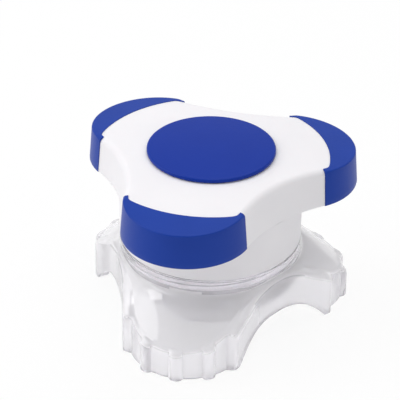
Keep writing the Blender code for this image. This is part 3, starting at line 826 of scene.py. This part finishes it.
def bed_side(point, normal):
    """Top's edge over a grip's bed: the crest's inset, the points down into the bed, and the foot."""
    brink = crescent_inset(point, normal, GRIP_STRIP) + SEAM
    crest_inset = max(crescent_inset(point, normal, KNOB_FILLET), brink + BRINK_WIDTH)
    points = []
    for share in BRINK_SHARES:
        points.append(top_point(point, normal, crest_inset + (brink - crest_inset) * share))
    floor_height = edge_height(point, normal, brink) - BED_DEPTH
    shelf = knob_top(point) - BED_DEPTH
    for share in BED_SHARES:
        spot = point - normal * (brink + (BED_DEPTH - brink) * share)
        points.append(lifted(spot, floor_height + (shelf - floor_height) * share))
    return crest_inset, points, lifted(point - normal * BED_DEPTH, shelf)


def bare_side(point, normal):
    """Top's edge on a concave side: the crest's inset, the fillet's points, and the foot."""
    points = []
    for sine, _ in quarter(KNOB_FILLET_STEPS):
        points.append(top_point(point, normal, KNOB_FILLET * (1 - sine)))
    shelf = knob_top(point - normal * KNOB_FILLET) - KNOB_FILLET
    return KNOB_FILLET, points, lifted(point, shelf)


def knob_outer_wall(foot, shelf, normal):
    """Down the wall's outside to the round of its lower edge."""
    column = []
    for share in spread(0.0, 1.0, KNOB_WALL_RINGS):
        height = shelf + (KNOB_BOTTOM + KNOB_FOOT_ROUND - shelf) * share
        column.append(lifted(foot + normal * KNOB_DRAFT * share, height))
    sole = foot + normal * (KNOB_DRAFT - KNOB_FOOT_ROUND)
    for sine, cosine in quarter(KNOB_FOOT_STEPS):
        column.append(lifted(sole + normal * KNOB_FOOT_ROUND * cosine,
                             KNOB_BOTTOM + KNOB_FOOT_ROUND * (1 - sine)))
    column.append(lifted(sole, KNOB_BOTTOM))
    return column


def knob_inside(inner, normal, hole, radial):
    """Up the wall's inside and across the underside of the plate to the store's mouth."""
    under = KNOB_TOP_EDGE - KNOB_PLATE
    return [
        lifted(inner + normal * (KNOB_DRAFT + BREAK_ROUND), KNOB_BOTTOM),
        lifted(inner + normal * KNOB_DRAFT, KNOB_BOTTOM + BREAK_ROUND),
        lifted(inner, under - UNDERSIDE_CHAMFER),
        lifted(inner - normal * UNDERSIDE_CHAMFER, under),
        lifted(hole.lerp(inner, UNDERSIDE_SHARE), under),
        lifted(hole + radial * PLATE_CHAMFER, KNOB_CROWN - KNOB_PLATE),
        lifted(hole, KNOB_CROWN - KNOB_PLATE + PLATE_CHAMFER),
    ]


def knob_column(point, normal, angle):
    """One vertical cut through the shell, from the store's mouth outwards and back underneath."""
    on_bed = angle is not None and abs(angle) < BED_END
    crest_inset, edge_points, foot = (bed_side if on_bed else bare_side)(point, normal)
    crest = point - normal * crest_inset
    radial = crest.normalized()
    hole = PLATE_HOLE * radial
    column = [lifted(hole, KNOB_CROWN - PLATE_CHAMFER)]
    column.append(lifted(hole + radial * PLATE_CHAMFER, KNOB_CROWN))
    start = LID_RADIUS * radial
    for share in spread(0.0, 1.0, KNOB_TOP_RINGS):
        spot = start.lerp(crest, share)
        column.append(lifted(spot, knob_top(spot)))
    column += edge_points
    column += knob_outer_wall(foot.xy, foot.z, normal)
    inner = point - normal * (BED_DEPTH + KNOB_WALL)
    column += knob_inside(inner, normal, hole, radial)
    return column


def make_knob_body(material):
    """White three-lobed shell, open below, with a shallow bed for each grip."""
    cuts = outline(KNOB_TIP_CENTRE, KNOB_TIP_RADIUS, KNOB_SIDE_CENTRE, knob_tip_angles(),
                   KNOB_SIDE_STEPS)
    columns = [knob_column(point, normal, angle) for point, normal, angle, _ in cuts]
    builder = bmesh.new()
    skin(builder, columns_to_rings(columns), join_ends=True)
    return finish_mesh("knob_body", builder, material)


def grip_section(lobe, angle):
    """Closed cut through a grip at one angle about its tip arc's centre."""
    normal = Vector((math.cos(lobe + angle), math.sin(lobe + angle)))
    point = KNOB_TIP_CENTRE * Vector((math.cos(lobe), math.sin(lobe))) + KNOB_TIP_RADIUS * normal
    crest = point - normal * crescent_inset(point, normal, GRIP_STRIP)
    face = point + normal * GRIP_PROUD
    back = face - normal * GRIP_THICKNESS
    top = knob_top(point) + GRIP_PROUD
    crest_top = knob_top(crest) + GRIP_PROUD
    end_share = smooth(abs(angle), GRIP_END_START, GRIP_HALF_ANGLE)
    edge = GRIP_EDGE + (GRIP_END_EDGE - GRIP_EDGE) * end_share

    section = [lifted(back + normal * (KNOB_DRAFT + RING_GAP), KNOB_BOTTOM)]
    section.append(lifted(face + normal * (KNOB_DRAFT - GRIP_FOOT), KNOB_BOTTOM))
    section.append(lifted(face + normal * (KNOB_DRAFT - GRIP_FOOT * ARC_MIDDLE),
                          KNOB_BOTTOM + GRIP_FOOT * ARC_MIDDLE))
    for share in spread(1.0, 0.0, GRIP_FACE_POINTS):
        height = top - edge + (KNOB_BOTTOM + GRIP_FOOT - top + edge) * share
        section.append(lifted(face + normal * KNOB_DRAFT * share, height))
    for sine, cosine in quarter(GRIP_EDGE_STEPS):
        section.append(lifted(face - normal * edge * (1 - cosine), top - edge * (1 - sine)))
    top_start = face - normal * edge
    for share in spread(0.0, 1.0, GRIP_TOP_POINTS):
        section.append(lifted(top_start.lerp(crest, share), top + (crest_top - top) * share))
    section.append(lifted(crest, crest_top - GRIP_THICKNESS))
    section.append(lifted(crest.lerp(back, 0.5), 0.5 * (crest_top + top) - GRIP_THICKNESS))
    section.append(lifted(back, top - GRIP_THICKNESS))
    return section


def make_grip(name, lobe, material):
    """Blue grip over one lobe: a side pad as tall as the knob and a crescent on the top."""
    angles = spread(-GRIP_HALF_ANGLE, GRIP_HALF_ANGLE, GRIP_CUTS)
    builder = bmesh.new()
    rows = [[builder.verts.new(spot) for spot in grip_section(lobe, angle)] for angle in angles]
    count = len(rows[0])
    for before, after in zip(rows, rows[1:]):
        for index in range(count):
            following = (index + 1) % count
            builder.faces.new((before[index], before[following], after[following], after[index]))
    builder.faces.new(rows[0])
    builder.faces.new(list(reversed(rows[-1])))
    return finish_mesh(name, builder, material)


# ---- stage, light and camera ----------------------------------------------------------------------
def math_node(tree, operation, first, second):
    node = tree.nodes.new("ShaderNodeMath")
    node.operation = operation
    for socket, value in zip(node.inputs, (first, second)):
        if isinstance(value, float):
            socket.default_value = value
        else:
            tree.links.new(value, socket)
    return node.outputs[0]


def seen_directly(tree):
    """1 for rays straight from the camera or out of clear plastic, and 0 for any other ray."""
    path = tree.nodes.new("ShaderNodeLightPath").outputs
    return math_node(tree, "MAXIMUM", path["Is Camera Ray"], path["Is Transmission Ray"])


def lift_behind_clear(tree, lift):
    """Strength of the surroundings: above 1 where they light a surface through clear plastic.

    The lamps' own light doesn't pass the clear plastic, so the surroundings stand in for it.
    """
    path = tree.nodes.new("ShaderNodeLightPath")
    scattered = math_node(tree, "MINIMUM", path.outputs["Diffuse Depth"], 1.0)
    behind = math_node(tree, "MULTIPLY", scattered, path.outputs["Is Transmission Ray"])
    return mapped(tree, behind, 1.0, lift)


def make_floor():
    """Plain pale floor, which the camera sees nearly white with only a trace of shadow."""
    builder = bmesh.new()
    bmesh.ops.create_circle(builder, cap_ends=True, segments=FLOOR_SEGMENTS, radius=FLOOR_RADIUS)
    material, tree, shader, _ = node_material("floor_look")
    shader.inputs["Base Color"].default_value = FLOOR_COLOUR
    shader.inputs["Roughness"].default_value = FLOOR_ROUGHNESS
    shader.inputs["Specular IOR Level"].default_value = FLOOR_SPECULAR
    glow = tree.nodes.new("ShaderNodeEmission")
    blend = tree.nodes.new("ShaderNodeMixShader")
    tree.links.new(lift_behind_clear(tree, FLOOR_LIFT), glow.inputs["Strength"])
    tree.links.new(mapped(tree, seen_directly(tree), 0.0, FLOOR_GLOW), blend.inputs[0])
    tree.links.new(shader.outputs[0], blend.inputs[1])
    tree.links.new(glow.outputs[0], blend.inputs[2])
    tree.links.new(blend.outputs[0], tree.nodes["Material Output"].inputs["Surface"])
    floor = finish_mesh("floor", builder, material)
    floor.location.z = -FLOOR_DROP


def make_world():
    """Even white studio, brighter where it is seen straight or through clear plastic."""
    world = bpy.data.worlds.new("studio")
    bpy.context.scene.world = world
    world.use_nodes = True
    tree = world.node_tree
    background = tree.nodes["Background"]
    background.inputs["Color"].default_value = (1.0, 1.0, 1.0, 1.0)
    seen = mapped(tree, seen_directly(tree), AMBIENT, 1.0)
    strength = math_node(tree, "MULTIPLY", seen, lift_behind_clear(tree, STUDIO_LIFT))
    tree.links.new(strength, background.inputs["Strength"])


def add_light(name, azimuth, elevation, distance, size, power):
    """Square soft box that looks at the object from an azimuth and elevation in degrees."""
    data = bpy.data.lights.new(name, "AREA")
    data.size = size
    data.energy = power
    light = bpy.data.objects.new(name, data)
    bpy.context.scene.collection.objects.link(light)
    turn = math.radians(azimuth)
    rise = math.radians(elevation)
    back = Vector((math.sin(turn) * math.cos(rise), -math.cos(turn) * math.cos(rise), math.sin(rise)))
    light.location = back * distance
    light.rotation_mode = "QUATERNION"
    light.rotation_quaternion = back.to_track_quat("Z", "Y")


def make_camera():
    """Camera at the picture's viewing angle."""
    data = bpy.data.cameras.new("camera")
    data.lens = CAMERA_LENS
    data.sensor_width = SENSOR_WIDTH
    camera = bpy.data.objects.new("camera", data)
    bpy.context.scene.collection.objects.link(camera)
    right = Vector((math.cos(CAMERA_AZIMUTH), math.sin(CAMERA_AZIMUTH), 0))
    back = Vector((math.sin(CAMERA_AZIMUTH) * math.cos(CAMERA_ELEVATION),
                   -math.cos(CAMERA_AZIMUTH) * math.cos(CAMERA_ELEVATION),
                   math.sin(CAMERA_ELEVATION)))
    up = back.cross(right)
    turn = Matrix((right, up, back)).transposed().to_4x4() @ Matrix.Rotation(CAMERA_ROLL, 4, "Z")
    aim = right * CAMERA_SIDE + Vector((0, 0, CAMERA_AIM_HEIGHT))
    camera.matrix_world = Matrix.Translation(aim + back * CAMERA_DISTANCE) @ turn
    data.clip_start = CLIP_START
    data.clip_end = CLIP_END
    bpy.context.scene.camera = camera


# ---- assembly -------------------------------------------------------------------------------------
def install(piece, body, slot, *nodes):
    """Put a piece on its body, in place of its CAD nodes."""
    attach(piece, body)
    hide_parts(*nodes)


def main():
    clear = [clear_plastic(name, transmission) for name, transmission in CLEAR_FINISHES]
    white = white_plastic()
    install(make_clear_base(clear), "base", "clear_plastic", "base_shell", "crushing_cup")
    install(make_plunger(white), "knob", "white_plastic", "plunger")
    install(make_barrel(white), "barrel", "white_plastic", "barrel")
    install(make_knob_body(white), "knob", "white_plastic", "knob_shell")
    soft_blue = blue_grip()
    for node, lobe in zip(("front_grip", "right_grip", "left_grip"), LOBE_ANGLES):
        install(make_grip(node + "_pad", lobe, soft_blue), "knob", "blue_grip", node)
    install(make_lid(blue_plastic()), "storage_lid", "blue_plastic", "storage_lid")

    make_floor()
    make_world()
    for light in LIGHTS:
        add_light(*light)
    make_camera()
    bpy.context.scene.view_settings.view_transform = "Standard"


main()
